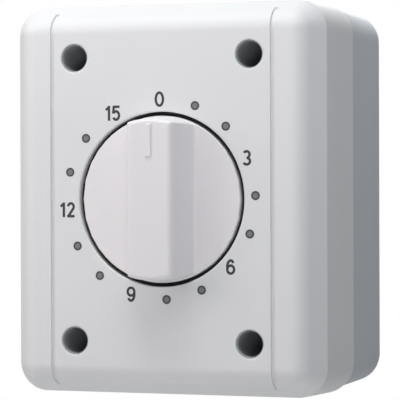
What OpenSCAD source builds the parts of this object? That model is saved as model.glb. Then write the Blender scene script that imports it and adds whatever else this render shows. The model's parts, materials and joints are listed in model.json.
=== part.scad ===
// Surface-mounted run-back timer light switch: a two-shell housing, a winding knob and a spring clockwork.
// Pieces are drawn lying on the wall plane (x right, y up, z out of the wall), then stood upright.

/* [Housing] */
// Width of the cover at its front crease
crease_w = 66; // [64:0.5:72]
// Height of the cover at its front crease
crease_h = 79; // [78:0.5:88]
// Distance from the wall to the flat front
front_z = 48; // [47.5:0.5:52]
// Distance from the wall to the parting line between base and cover
base_z = 24.4; // [24:0.2:26]
// How far the rounded front edge reaches in from the crease
shoulder_in = 6; // [5:0.25:6.5]
// How far the crease lies behind the flat front
shoulder_drop = 5.6; // [4.8:0.2:6]
// Radius between the flat front and the bevel
shoulder_r = 4.3; // [2:0.1:4.6]
// Outward draft of the cover's side walls, per side
draft = 0.7; // [0.3:0.1:1]
// Step from the cover's rear edge in to the base, per side
base_step = 0.5; // [0.3:0.1:0.8]
// Radius of the edge round the back of the base
back_edge_r = 0.8; // [0.4:0.1:1.2]
// Wall thickness of both shells
wall = 2.2; // [1.8:0.1:2.4]

/* [Cover details] */
// Distance of each vertical groove from the centre line
groove_x = 23.4; // [22:0.1:25]
// Width of a groove
groove_w = 0.6; // [0.4:0.1:1]
// Depth of a groove
groove_d = 0.4; // [0.2:0.1:0.6]
// Cover screws, distance apart across the width
screw_gap_x = 37.2; // [36.8:0.1:38]
// Cover screws, distance apart up the height
screw_gap_y = 57.3; // [56.5:0.1:58.5]
// Radius of the screw openings in the front
screw_open_r = 2.85; // [2.8:0.05:3]
// Radius of the round well that the knob sits in
well_r = 17.45; // [17.4:0.05:18.4]

/* [Knob] */
// Radius of the knob's disc
knob_r = 16.45; // [16.2:0.05:16.5]
// Height of the grip bar above the disc
grip_h = 6.8; // [5:0.2:8]
// Width of the grip bar along its top
grip_top_w = 9; // [7:0.5:10]
// Width of the grip bar where it meets the disc
grip_foot_w = 14; // [12:0.5:15]
// Lean of the bar's ends, from the disc up to the top
end_lean = 0.7; // [0.4:0.1:2]
// Slope cut along the bar's top edges
grip_edge = 0.6; // [0.3:0.1:1]
// Length of the pointer ridge on the grip bar
pointer_l = 6.8; // [4:0.1:8]

/* [Clockwork] */
// Module of the main wheel and its pinion
main_mod = 0.4; // [0.4:0.01:0.41]
// Module of the second wheel and its pinion
second_mod = 0.3; // [0.3:0.01:0.31]
// Turns in the mainspring
spring_turns = 6; // [4:1:7]
// Thickness of the mainspring's strip
spring_t = 0.35; // [0.2:0.05:0.4]

/* [Wall fixing] */
// Distance between the two wall screws
wall_gap = 52; // [51:0.5:53]
// Radius of the wall screw holes
wall_hole_r = 2.2; // [2:0.1:2.6]
// Radius of the cable hole in the grommet
cable_r = 3.4; // [2.5:0.1:4]

/* [Hidden] */
$fn = 48;
eps = 0.01;

// Shells
front_half_w = crease_w / 2 - shoulder_in;
front_half_h = crease_h / 2 - shoulder_in;
crease_z = front_z - shoulder_drop;
// Slope of the bevel, to a close first guess of the angle that the rounding turns through
bevel = atan2(shoulder_drop - shoulder_r * (1 - cos(50)), shoulder_in - shoulder_r * sin(50));
cover_w = crease_w + 2 * draft;
cover_h = crease_h + 2 * draft;
base_w = cover_w - 2 * base_step;
base_h = cover_h - 2 * base_step;
base_r = shoulder_in + draft - base_step;
back_t = 2.5;
lip_gap = 0.3;
lip_t = 1.4;
lip_foot = base_z - 3.4;
lip_top = base_z + 3;
lip_w = cover_w - 2 * (wall + lip_gap);
lip_h = cover_h - 2 * (wall + lip_gap);
seal_t = 1;
seal_h = 1.8;

// Cover screws and their towers
screw_at = [for (sx = [-1, 1], sy = [-1, 1]) [sx * screw_gap_x / 2, sy * screw_gap_y / 2]];
tower_r = 5.4;
tower_z = 26.2;
tower_floor = 1.8;
sleeve_t = 1.2;
sleeve_top = front_z - wall;
cover_head_r = 2.6;
cover_head_h = 2.4;
cover_shank_r = 1.45;
cover_shank_l = 16;
thread_gap = 0.05;

// Knob well and spindle
well_floor_z = 39.4;
well_floor_t = 1.6;
well_wall = 1.8;
hub_r = 4.6;
hub_z = 36.9;
spindle_r = 3;
flat_x = 2.2;
shaft_gap = 0.03;
press_gap = 0.02;
bush_r = 5;
bush_flange_r = 6.2;
bush_flange_t = 1.2;
seal_gap = 0.15;
seal_seat_r = 6.2;
skirt_z = 42.4;
skirt_t = 1.8;
disc_t = 2;
rim_r = 0.6;
end_in = 0.05;
ring_gap = 0.35;
ring_drop = 1.3;

// Movement levels, from the rear plate forward
plate_t = 1.2;
rear_plate_z = 9;
front_plate_z = 33;
plate_w = 44;
plate_h = 39;
pillar_at = [for (sx = [-1, 1], sy = [-1, 1]) [sx * 19, sy * 16.5]];
pillar_r = 2;
cam_z = 12;
cam_t = 4.4;
second_z = 16.9;
second_t = 0.8;
main_z = 18.4;
main_t = 1.2;
ratchet_z = 20;
ratchet_t = 1.2;
spring_z = 22;
spring_w = 5;
spring_inner_r = 4.45;
spring_outer_r = 10.6;
spring_post_r = 0.9;
spring_post_over = 0.5;
spring_post_at = [-(spring_outer_r + spring_post_r + spring_t + 0.1), 0];
escape_z = 24;
escape_t = 1;
arbor_r = 0.9;
pivot_r = 0.5;
pivot_gap = 0.04;

// Gear train
main_teeth = 60;
second_pinion_teeth = 12;
second_teeth = 50;
escape_pinion_teeth = 10;
escape_teeth = 12;
wheel_add = 0.6;
pinion_add = 0.9;
tooth_ded = 1.15;
pressure = 20;
tooth_thin = 0.05;
second_turn = 20;
escape_turn = -70;
pallet_turn = -100;
second_at = (main_teeth + second_pinion_teeth) / 2 * main_mod * [cos(second_turn), sin(second_turn)];
escape_at = second_at
    + (second_teeth + escape_pinion_teeth) / 2 * second_mod * [cos(escape_turn), sin(escape_turn)];
escape_r = 4.5;
escape_root_r = 3.3;
pallet_pin_r = 0.25;
pallet_clear = 0.12;
pallet_span = 37.5;
pallet_pin_at = escape_r + pallet_pin_r + pallet_clear;
pallet_reach = pallet_pin_at * tan(pallet_span);
pallet_at = escape_at + pallet_pin_at / cos(pallet_span) * [cos(pallet_turn), sin(pallet_turn)];

// Switch
cam_r = 9.5;
cam_notch = 1.6;
cam_notch_half = 12;
blade_t = 0.4;
blade_w = 4;
blade_z = cam_z + (cam_t - blade_w) / 2;
blade_x = 10.5;
moving_y = -12.2;
fixed_y = -15.4;
blade_tip_x = 7;
rivet_x = 5.6;
rivet_r = 1.4;
rivet_h = 0.6;

// Terminals
block_w = 26.6;
block_top = -22.3;
block_bottom = -35;
block_z = 19;
terminal_gap = 7;
terminal_at = [for (i = [0:3]) (i - 1.5) * terminal_gap];
terminal_shank_r = 1.5;
terminal_y = -29;
clamp_w = 5;
clamp_h = 6;
clamp_z = 8;
clamp_d = 8;
block_screw_at = [for (sx = [-1, 1]) [sx * terminal_gap, block_bottom + 2]];
foot_y = terminal_y + clamp_h / 2 + 0.05;

// Posts that carry the movement
post_at = [for (sx = [-1, 1], sy = [-1, 1]) [sx * 26, sy * 17]];
post_r = 3.4;
carrier_z = front_plate_z + plate_t;
carrier_t = 2.5;
carrier_w = 59;
carrier_h = 43;
small_shank_r = 1.2;
small_head_r = 2.5;
small_head_h = 1.8;
carrier_screw_l = 12;
screw_gap = 0.2;
carrier_hole_r = 7;

// Cable entries
entry_z = 11.8;
entry_r = 7.5;
grommet_lip = 1.3;
grommet_lip_t = 0.5;
grommet_skin = 1.2;

ivory = [0.88, 0.88, 0.87];
charcoal = [0.13, 0.13, 0.14];
rubber = [0.08, 0.08, 0.08];
steel = [0.7, 0.7, 0.72];
brass = [0.78, 0.62, 0.3];
acetal = [0.9, 0.88, 0.8];

// Stands a piece up: z out of the wall becomes the front
module upright() {
    rotate([90, 0, 0])
        children();
}

// Flat rectangle with true round corners
module round_rect(w, h, r) {
    square([w - 2 * r, h], center = true);
    square([w, h - 2 * r], center = true);
    for (sx = [-1, 1], sy = [-1, 1])
        translate([sx * (w / 2 - r), sy * (h / 2 - r)])
            circle(r);
}

module slab(w, h, r, z0, z1) {
    translate([0, 0, z0])
        linear_extrude(z1 - z0)
            round_rect(w, h, r);
}

module rod(at, r, z0, z1) {
    translate([at.x, at.y, z0])
        cylinder(r = r, h = z1 - z0);
}

// Half section of the cover's edge: drafted wall, crease, bevel and rounded front, set in by a wall thickness
function edge_points(inset, z0) = [
    [0, z0],
    [shoulder_in + draft - inset, z0],
    [shoulder_in - inset, crease_z - inset / 2],
    for (a = [bevel:-bevel / 6:0]) [
        max(0, shoulder_r * sin(a) - inset / 2),
        front_z - inset - shoulder_r * (1 - cos(a))
    ],
    [0, front_z - inset]
];

// Cover's solid form: one edge section turned at each corner
module cover_form(inset, z0) {
    hull()
        for (sx = [-1, 1], sy = [-1, 1])
            translate([sx * front_half_w, sy * front_half_h, 0])
                rotate_extrude($fn = 64)
                    polygon(edge_points(inset, z0));
}

// Posts and towers repeat at the four corners
module at_each(places) {
    for (p = places)
        translate([p.x, p.y, 0])
            children();
}

// Box with round upright corners and a rounded edge all round its back
module rounded_block(w, h, r, z1, edge) {
    module half_section(reach) {
        translate([0, edge])
            square([reach, z1 - edge]);
        square([reach - edge, z1]);
        translate([reach - edge, edge])
            circle(edge);
    }
    module whole_section(reach) {
        half_section(reach);
        mirror([1, 0])
            half_section(reach);
    }
    for (sx = [-1, 1], sy = [-1, 1])
        translate([sx * (w / 2 - r), sy * (h / 2 - r), 0])
            rotate_extrude()
                half_section(r);
    rotate([90, 0, 0])
        linear_extrude(h - 2 * r, center = true)
            whole_section(w / 2);
    rotate([90, 0, 90])
        linear_extrude(w - 2 * r, center = true)
            whole_section(h / 2);
}

module rear_base() color(ivory) upright() {
    bore_w = lip_w - 2 * lip_t;
    bore_h = lip_h - 2 * lip_t;
    web = [5, 1.4, base_z - back_t];
    pad_rim = 2;
    pad_h = 0.8;
    pocket = [34, 18];
    pocket_r = 3;
    pocket_y = 20;
    pocket_d = 0.8;
    pilot_d = 1.6;
    boss_r = tower_r - 0.6;
    hole_spare = 2;
    difference() {
        union() {
            difference() {
                rounded_block(base_w, base_h, base_r, base_z, back_edge_r);
                slab(base_w - 2 * wall, base_h - 2 * wall, base_r - wall, back_t, base_z + eps);
            }
            // Lip that the cover slips over
            difference() {
                slab(lip_w, lip_h, base_r - wall, lip_foot, lip_top);
                slab(bore_w, bore_h, base_r - wall - lip_t, lip_foot - eps, lip_top + eps);
            }
            at_each(screw_at)
                translate([0, 0, back_t - eps])
                    cylinder(r = boss_r, h = tower_z - back_t + eps);
            at_each(post_at)
                translate([0, 0, back_t - eps])
                    cylinder(r = post_r, h = carrier_z - back_t + eps);
            // Webs tie the tall posts to the side walls
            for (p = post_at)
                translate([p.x + (p.x > 0 ? 0 : -web.x), p.y - web.y / 2, back_t - eps])
                    cube(web);
            // Raised pads round the wall screws
            for (sx = [-1, 1])
                rod([sx * wall_gap / 2, 0], wall_hole_r + pad_rim, back_t - eps, back_t + pad_h);
        }
        at_each(screw_at)
            translate([0, 0, tower_z + tower_floor - cover_shank_l - cover_shank_r - hole_spare])
                cylinder(r = cover_shank_r + thread_gap, h = front_z);
        at_each(post_at)
            translate([0, 0, carrier_z - carrier_screw_l])
                cylinder(r = small_shank_r + thread_gap, h = front_z);
        for (sx = [-1, 1])
            rod([sx * wall_gap / 2, 0], wall_hole_r, -1, back_t + pad_h + 1);
        for (sy = [-1, 1])
            translate([0, sy * base_h / 2, entry_z])
                rotate([90, 0, 0])
                    cylinder(r = entry_r, h = 3 * wall, center = true);
        // Shallow pockets keep the back flat against an uneven wall
        for (sy = [-1, 1])
            translate([0, sy * pocket_y, -eps])
                linear_extrude(pocket_d)
                    round_rect(pocket.x, pocket.y, pocket_r);
        at_each(block_screw_at)
            translate([0, 0, back_t - pilot_d])
                cylinder(r = small_shank_r + thread_gap, h = 2 * pilot_d);
    }
}

module cover() color(ivory) upright() {
    seat_gap = 0.4;
    shank_gap = 0.25;
    groove_stop = 1.5;
    seat_w = cover_w - 2 * (wall + lip_gap - seal_t) + seat_gap;
    seat_h = cover_h - 2 * (wall + lip_gap - seal_t) + seat_gap;
    join_z = front_z - 1;
    difference() {
        union() {
            difference() {
                cover_form(0, base_z);
                cover_form(wall, base_z - eps);
                // Seat for the seal
                slab(seat_w, seat_h, base_r - seal_t, base_z - eps, base_z + seal_h + thread_gap);
            }
            rod([0, 0], well_r + well_wall, well_floor_z, join_z);
            at_each(screw_at)
                translate([0, 0, tower_z])
                    cylinder(r = tower_r, h = join_z - tower_z);
        }
        rod([0, 0], well_r, well_floor_z + well_floor_t, front_z + 1);
        rod([0, 0], seal_seat_r, well_floor_z - 1, front_z);
        at_each(screw_at) {
            translate([0, 0, tower_z - 1])
                cylinder(r = cover_shank_r + shank_gap, h = front_z);
            translate([0, 0, tower_z + tower_floor])
                cylinder(r = screw_open_r + sleeve_t, h = sleeve_top - tower_z - tower_floor);
            translate([0, 0, sleeve_top - 1])
                cylinder(r = screw_open_r, h = wall + 2);
        }
        // Grooves follow the front and both bevels, and stop short of the crease
        for (sx = [-1, 1])
            difference() {
                translate([sx * groove_x - groove_w / 2, groove_stop - crease_h / 2, crease_z])
                    cube([groove_w, crease_h - 2 * groove_stop, shoulder_drop + 1]);
                cover_form(groove_d, base_z);
            }
    }
}

module cover_seal() color(rubber) upright() {
    fit = 0.1;
    inner_w = lip_w + 2 * fit;
    inner_h = lip_h + 2 * fit;
    corner_r = base_r - seal_t - 2 * fit;
    difference() {
        slab(inner_w + 2 * seal_t, inner_h + 2 * seal_t, corner_r, base_z, base_z + seal_h);
        slab(inner_w, inner_h, corner_r - seal_t, base_z - 1, base_z + seal_h + 1);
    }
}

// Rubber bush turned about the entry's axis, with a lip on each side of the wall
module grommet(bore) {
    lip_r = entry_r + grommet_lip;
    length = wall + grommet_lip;
    nose_in = 0.4;
    tail_out = 0.2;
    rim_t = 1.4;
    dish_d = 1;
    fit = 0.05;
    translate([0, -base_h / 2, entry_z])
        rotate([-90, 0, 0])
            difference() {
                union() {
                    translate([0, 0, -grommet_lip_t])
                        cylinder(r1 = lip_r - nose_in, r2 = lip_r, h = grommet_lip_t);
                    cylinder(r = entry_r - fit, h = wall);
                    translate([0, 0, wall])
                        cylinder(r1 = lip_r, r2 = entry_r + tail_out, h = grommet_lip);
                }
                // Stepped dish that leaves a thin skin to cut or push the cable through
                translate([0, 0, -1])
                    cylinder(r = entry_r - rim_t, h = 1 + dish_d);
                translate([0, 0, dish_d - eps])
                    cylinder(r1 = entry_r - rim_t, r2 = cable_r + dish_d, h = length - dish_d - grommet_skin);
                if (bore)
                    translate([0, 0, -1])
                        cylinder(r = cable_r, h = length + 2);
            }
}

module cable_grommet() color(charcoal) upright() {
    grommet(true);
}

module blind_grommet() color(charcoal) upright() {
    mirror([0, 1, 0])
        grommet(false);
}

module sealing_sleeves() color(rubber) upright() {
    fit = 0.03;
    lap = 0.1;
    length = sleeve_top - tower_z - tower_floor - thread_gap;
    at_each(screw_at)
        translate([0, 0, tower_z + tower_floor])
            difference() {
                cylinder(r = screw_open_r + sleeve_t - fit, h = length);
                translate([0, 0, -1])
                    cylinder(r = screw_open_r - lap, h = length + 2);
            }
}

// Pan-head screw, tip down, with a cross recess; its seat is at z = 0
module screw(head_r, head_h, shank_r, shank_l) {
    recess_w = head_r / 4;
    recess_l = head_r * 1.2;
    recess_foot = head_h * 0.45;
    dome_r = head_r * 1.6;
    tip_r = 0.3;
    difference() {
        union() {
            rotate_extrude()
                intersection() {
                    square([head_r, head_h]);
                    translate([0, head_h - dome_r])
                        circle(dome_r);
                }
            translate([0, 0, -shank_l])
                cylinder(r = shank_r, h = shank_l + eps);
            translate([0, 0, -shank_l - shank_r])
                cylinder(r1 = tip_r, r2 = shank_r, h = shank_r);
        }
        for (turn = [0, 90])
            rotate(turn)
                translate([-recess_l / 2, -recess_w / 2, recess_foot])
                    cube([recess_l, recess_w, head_h]);
    }
}

module cover_screws() color(steel) upright() {
    at_each(screw_at)
        translate([0, 0, tower_z + tower_floor])
            screw(cover_head_r, cover_head_h, cover_shank_r, cover_shank_l);
}

module mechanism_carrier() color(charcoal) upright() {
    corner_r = 4;
    rib_h = 1.6;
    rib_w = 1.2;
    ring_r = 16;
    ring_t = 1.6;
    rib_from = carrier_hole_r + 0.6;
    rib_to = ring_r - ring_t / 2;
    rib_top = carrier_z + carrier_t + rib_h;
    window = [7, 14];
    window_x = 23;
    window_r = 2;
    difference() {
        union() {
            slab(carrier_w, carrier_h, corner_r, carrier_z, carrier_z + carrier_t);
            // Ring and ribs on the front stiffen the plate round the spindle
            difference() {
                rod([0, 0], ring_r, carrier_z, rib_top);
                rod([0, 0], ring_r - ring_t, carrier_z - 1, rib_top + 1);
            }
            for (turn = [0:60:300])
                rotate(turn)
                    translate([rib_from, -rib_w / 2, carrier_z + eps])
                        cube([rib_to - rib_from, rib_w, carrier_t + rib_h]);
        }
        rod([0, 0], carrier_hole_r, carrier_z - 1, rib_top + 1);
        at_each(post_at)
            cylinder(r = small_shank_r + screw_gap, h = front_z);
        at_each(pillar_at)
            cylinder(r = small_shank_r + screw_gap, h = front_z);
        // Side windows give a view of the clockwork while it is wired
        for (sx = [-1, 1])
            translate([sx * window_x, 0, carrier_z - 1])
                linear_extrude(carrier_t + 2)
                    round_rect(window.x, window.y, window_r);
    }
}

module carrier_screws() color(steel) upright() {
    at_each(post_at)
        translate([0, 0, carrier_z + carrier_t])
            screw(small_head_r, small_head_h, small_shank_r, carrier_screw_l);
}

// Movement plate with rounded corners, pillar holes and pivot holes
module movement_plate(z0, pillar_hole_r, centre_hole_r) {
    corner_r = 3;
    window = [7, 9];
    window_at = [-13.5, 9.5];
    window_r = 2;
    through = plate_t + 2;
    difference() {
        slab(plate_w, plate_h, corner_r, z0, z0 + plate_t);
        at_each(pillar_at)
            translate([0, 0, z0 - 1])
                cylinder(r = pillar_hole_r, h = through);
        rod([0, 0], centre_hole_r, z0 - 1, z0 + plate_t + 1);
        at_each([second_at, escape_at, pallet_at])
            translate([0, 0, z0 - 1])
                cylinder(r = pivot_r + pivot_gap, h = through);
        // Lightening window away from the train
        translate([window_at.x, window_at.y, z0 - 1])
            linear_extrude(through)
                round_rect(window.x, window.y, window_r);
    }
}

module timer_front_plate() color(steel) upright() {
    movement_plate(front_plate_z, small_shank_r + 2 * thread_gap, bush_r + shaft_gap);
    // Post that holds the mainspring's outer end
    rod(spring_post_at, spring_post_r, spring_z - spring_post_over, front_plate_z + eps);
}

module timer_rear_plate() color(steel) upright() {
    movement_plate(rear_plate_z, small_shank_r + thread_gap, spindle_r / 2 + shaft_gap);
}

module frame_pillars() color(brass) upright() {
    length = front_plate_z - rear_plate_z - plate_t;
    tapped = 8;
    waist_r = 4;
    waist_d = 0.4;
    rivet_t = 0.7;
    rivet_out = 0.6;
    at_each(pillar_at) {
        difference() {
            translate([0, 0, rear_plate_z + plate_t])
                cylinder(r = pillar_r, h = length);
            translate([0, 0, front_plate_z - tapped])
                cylinder(r = small_shank_r + thread_gap, h = tapped + 1);
            // Turned waist
            translate([0, 0, (rear_plate_z + front_plate_z) / 2])
                rotate_extrude()
                    translate([pillar_r + waist_r - waist_d, 0])
                        circle(waist_r);
        }
        // Riveted tail through the rear plate
        translate([0, 0, rear_plate_z])
            cylinder(r = small_shank_r, h = plate_t + eps);
        translate([0, 0, rear_plate_z - rivet_t])
            cylinder(r1 = small_shank_r, r2 = small_shank_r + rivet_out, h = rivet_t);
    }
}

module frame_screws() color(steel) upright() {
    length = 9;
    at_each(pillar_at)
        translate([0, 0, carrier_z + carrier_t])
            screw(small_head_r, small_head_h, small_shank_r, length);
}

module spindle_bush() color(brass) upright() {
    hub_clear = 0.3;
    difference() {
        union() {
            rod([0, 0], bush_flange_r, front_plate_z - bush_flange_t, front_plate_z);
            rod([0, 0], bush_r, front_plate_z - eps, hub_z - hub_clear);
        }
        rod([0, 0], spindle_r + shaft_gap, front_plate_z - 2 * bush_flange_t, hub_z);
    }
}

module shaft_seal() color(rubber) upright() {
    lip_r = seal_seat_r + 1;
    rear_t = 0.6;
    front_t = 0.5;
    wiper = 0.8;
    floor_top = well_floor_z + well_floor_t;
    rotate_extrude()
        polygon([
            [hub_r + seal_gap, well_floor_z - rear_t],
            [lip_r, well_floor_z - rear_t],
            [lip_r, well_floor_z],
            [seal_seat_r, well_floor_z],
            [seal_seat_r, floor_top],
            [lip_r, floor_top],
            [lip_r, floor_top + front_t],
            [hub_r + wiper, floor_top + front_t],
            [hub_r + seal_gap, floor_top]
        ]);
}

// Dark rubber ring that lines the well round the knob, with a rounded lip
module knob_ring() color(rubber) upright() {
    fit = 0.05;
    inner_r = knob_r + ring_gap;
    outer_r = well_r - fit;
    lip = (outer_r - inner_r) / 2;
    foot_z = well_floor_z + well_floor_t;
    crest_z = front_z - ring_drop - lip;
    rotate_extrude($fn = 96) {
        translate([inner_r, foot_z])
            square([2 * lip, crest_z - foot_z]);
        translate([inner_r + lip, crest_z])
            circle(lip, $fn = 24);
    }
}

module terminal_block() color(charcoal) upright() {
    mid_y = (block_top + block_bottom) / 2;
    corner_r = 1.2;
    fit = 0.2;
    driver_r = 2.3;
    wire_r = 1.9;
    wire_d = 5;
    wire_z = clamp_z + 3;
    slot_fit = 0.05;
    land_w = 1;
    land_d = 1.5;
    difference() {
        translate([0, mid_y, back_t])
            linear_extrude(block_z - back_t)
                round_rect(block_w, block_top - block_bottom, corner_r);
        // Clamp chambers with screw openings to the front and wire openings below
        for (x = terminal_at) {
            translate([x - clamp_w / 2 - fit, terminal_y - clamp_h / 2 - fit, clamp_z - fit])
                cube([clamp_w + 2 * fit, clamp_h + 2 * fit, clamp_d + 2 * fit]);
            rod([x, terminal_y], driver_r, clamp_z, block_z + 1);
            translate([x, block_bottom - 1, wire_z])
                rotate([-90, 0, 0])
                    cylinder(r = wire_r, h = wire_d);
        }
        // Slots for the feet of the two contacts
        for (sx = [-1, 1])
            translate([sx * blade_x - blade_t / 2 - slot_fit, terminal_y + 1, blade_z - slot_fit])
                cube([blade_t + 2 * slot_fit, block_top - terminal_y + 1, blade_w + 2 * slot_fit]);
        at_each(block_screw_at)
            cylinder(r = small_shank_r + thread_gap, h = block_z + 1);
        // Lands between the screws
        for (side = [-1:1])
            translate([side * terminal_gap - land_w / 2, block_bottom - 1, block_z - land_d])
                cube([land_w, block_top - block_bottom + 2, land_d + 1]);
    }
}

module block_screws() color(steel) upright() {
    head_r = 1.9;
    head_h = 1.4;
    bite = 0.2;
    at_each(block_screw_at)
        translate([0, 0, block_z])
            screw(head_r, head_h, small_shank_r, block_z - back_t + bite);
}

module terminal_clamps() color(brass) upright() {
    cage_t = 0.9;
    roof_t = 2.5;
    for (x = terminal_at)
        translate([x - clamp_w / 2, terminal_y - clamp_h / 2, clamp_z])
            difference() {
                cube([clamp_w, clamp_h, clamp_d]);
                // Wire window through the cage
                translate([cage_t, -1, cage_t])
                    cube([clamp_w - 2 * cage_t, clamp_h + 2, clamp_d - cage_t - roof_t]);
                translate([clamp_w / 2, clamp_h / 2, clamp_d / 2])
                    cylinder(r = terminal_shank_r + thread_gap, h = clamp_d);
            }
}

module terminal_screws() color(steel) upright() {
    head_r = 2.1;
    head_h = 1.8;
    length = 4.4;
    lift = 0.3;
    for (x = terminal_at)
        translate([x, terminal_y, clamp_z + clamp_d + lift])
            screw(head_r, head_h, terminal_shank_r, length);
}

// Strip bent along a line of points, drawn flat: straight runs joined by round corners
module strip(points, t) {
    for (i = [0:len(points) - 2]) {
        run = points[i + 1] - points[i];
        translate(points[i])
            rotate(atan2(run.y, run.x))
                translate([0, -t / 2])
                    square([norm(run), t]);
    }
    for (i = [1:len(points) - 2])
        translate(points[i])
            circle(t / 2);
}

module moving_contact() color(brass) upright() {
    nose_gap = 0.5;
    nose_half = 2.4;
    nose_y = cam_notch - cam_r - nose_gap;
    bend = 1.5;
    translate([0, 0, blade_z])
        linear_extrude(blade_w)
            strip([
                [-blade_x, foot_y],
                [-blade_x, moving_y - bend],
                [bend - blade_x, moving_y],
                [-nose_half, moving_y],
                [0, nose_y],
                [nose_half, moving_y],
                [blade_tip_x, moving_y]
            ], blade_t);
    translate([rivet_x, moving_y - blade_t / 2 + eps, blade_z + blade_w / 2])
        rotate([90, 0, 0])
            cylinder(r = rivet_r, h = rivet_h);
}

module fixed_contact() color(brass) upright() {
    bend = 1;
    past_rivet = 1.6;
    translate([0, 0, blade_z])
        linear_extrude(blade_w)
            strip([
                [blade_x, foot_y],
                [blade_x, fixed_y - bend],
                [blade_x - bend, fixed_y],
                [rivet_x - past_rivet, fixed_y]
            ], blade_t);
    translate([rivet_x, fixed_y + blade_t / 2 - eps, blade_z + blade_w / 2])
        rotate([-90, 0, 0])
            cylinder(r = rivet_r, h = rivet_h);
}

// Round bore with one flat, for a driven shaft
module d_section(r, flat) {
    intersection() {
        circle(r);
        translate([flat - 2 * r, -r])
            square([2 * r, 2 * r]);
    }
}

// Grip bar: a tapered prism with cut top edges, trimmed by a cone at both ends
module grip_bar(inset) {
    top = grip_h - inset;
    foot = grip_foot_w / 2 - inset;
    crown = grip_top_w / 2 - inset;
    cut_x = crown + (foot - crown) * grip_edge / top;
    end_r = knob_r - end_in - inset;
    sunk = 2;
    module half_section() {
        polygon([
            [-eps, -sunk],
            [foot, -sunk],
            [foot, 0],
            [cut_x, top - grip_edge],
            [crown - grip_edge / 2, top],
            [-eps, top]
        ]);
    }
    translate([0, 0, front_z])
        intersection() {
            rotate([90, 0, 0])
                linear_extrude(2 * knob_r, center = true) {
                    half_section();
                    mirror([1, 0])
                        half_section();
                }
            union() {
                translate([0, 0, -sunk])
                    cylinder(r = end_r, h = sunk + eps, $fn = 96);
                cylinder(r1 = end_r, r2 = end_r - end_lean, h = grip_h, $fn = 96);
            }
        }
}

module knob() color(ivory) upright() {
    hollow = 1.8;
    web_t = 1.2;
    web_lap = 0.5;
    web_l = knob_r - skirt_t - hub_r + 2 * web_lap;
    web_z = skirt_z + 1.6;
    pointer_w = 0.8;
    pointer_t = 0.25;
    pointer_top = knob_r - end_in - end_lean - 0.2;
    bore_z = front_z - disc_t - 0.1;
    difference() {
        union() {
            difference() {
                rotate_extrude($fn = 96) {
                    translate([0, skirt_z])
                        square([knob_r, front_z - rim_r - skirt_z]);
                    translate([0, front_z - rim_r - eps])
                        square([knob_r - rim_r, rim_r + eps]);
                    translate([knob_r - rim_r, front_z - rim_r])
                        circle(rim_r);
                }
                rod([0, 0], knob_r - skirt_t, skirt_z - 1, front_z - disc_t);
            }
            grip_bar(0);
            rod([0, 0], hub_r, hub_z, front_z - 1);
            // Webs under the disc
            for (turn = [0:90:270])
                rotate(turn)
                    translate([hub_r - web_lap, -web_t / 2, web_z])
                        cube([web_l, web_t, front_z - disc_t - web_z + web_lap]);
            // Pointer ridge at the zero end of the grip
            translate([-pointer_w / 2, pointer_top - pointer_l, front_z + grip_h - eps])
                cube([pointer_w, pointer_l, pointer_t + eps]);
        }
        difference() {
            grip_bar(hollow);
            rod([0, 0], hub_r, hub_z, front_z + grip_h);
        }
        translate([0, 0, hub_z - 1])
            linear_extrude(bore_z - hub_z + 1)
                d_section(spindle_r + shaft_gap, flat_x + shaft_gap);
    }
}

module knob_clip() color(steel) upright() {
    clip_t = 1.2;
    clip_w = 0.8;
    clip_open = 1.2;
    translate([0, 0, skirt_z])
        linear_extrude(clip_t)
            difference() {
                circle(hub_r + clip_w);
                circle(hub_r + press_gap);
                translate([-clip_open / 2, 0])
                    square([clip_open, 2 * hub_r]);
            }
}

module spindle() color(steel) upright() {
    flat_z = hub_z - 0.2;
    tail_out = 0.8;
    shoulder_z = cam_z - 0.8;
    top_z = front_z - disc_t - 0.5;
    collar_r = 4.2;
    collar_over = 0.4;
    slot_x = 3.2;
    slot_w = 0.7;
    difference() {
        union() {
            rod([0, 0], spindle_r / 2, rear_plate_z - tail_out, shoulder_z);
            rod([0, 0], spindle_r, shoulder_z, top_z);
            // Collar that the mainspring hooks on to
            rod([0, 0], collar_r, spring_z - collar_over, spring_z + spring_w + collar_over);
        }
        translate([flat_x, -spindle_r, flat_z])
            cube([spindle_r, 2 * spindle_r, front_z - flat_z]);
        // Hook slot
        translate([slot_x, -slot_w / 2, spring_z])
            cube([collar_r, slot_w, spring_w]);
    }
}

// Involute tooth outline, in polar form
function involute(r, base) = r <= base ? 0 : tan(acos(base / r)) * 180 / PI - acos(base / r);
function tooth_half(r, teeth, mod) =
    let (pitch = teeth * mod / 2, base = pitch * cos(pressure))
    90 / teeth - tooth_thin / pitch * 90 / PI + involute(pitch, base) - involute(r, base);
function polar(r, a) = r * [cos(a), sin(a)];
function gear_points(teeth, mod, add) =
    let (
        pitch = teeth * mod / 2,
        root = pitch - tooth_ded * mod,
        foot = max(root, pitch * cos(pressure)),
        tip = pitch + add * mod,
        steps = [0:0.25:1]
    )
    [for (i = [0:teeth - 1])
        let (mid = i * 360 / teeth)
        each concat(
            [polar(root, mid - tooth_half(root, teeth, mod))],
            [for (s = steps) let (r = foot + s * (tip - foot)) polar(r, mid - tooth_half(r, teeth, mod))],
            [for (s = steps) let (r = tip - s * (tip - foot)) polar(r, mid + tooth_half(r, teeth, mod))],
            [polar(root, mid + tooth_half(root, teeth, mod))]
        )
    ];

// Spoke openings cut a wheel's web into arms
module spokes(arms, hub, rim, arm_w) {
    difference() {
        circle(rim);
        circle(hub);
        for (i = [0:arms - 1])
            rotate(i * 360 / arms)
                translate([0, -arm_w / 2])
                    square([rim + 1, arm_w]);
    }
}

module main_wheel() color(brass) upright() {
    translate([0, 0, main_z])
        linear_extrude(main_t)
            difference() {
                rotate(second_turn)
                    polygon(gear_points(main_teeth, main_mod, wheel_add));
                circle(spindle_r + press_gap);
                rotate(45)
                    spokes(arms = 4, hub = 9.2, rim = 10.6, arm_w = 2.2);
            }
}

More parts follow.
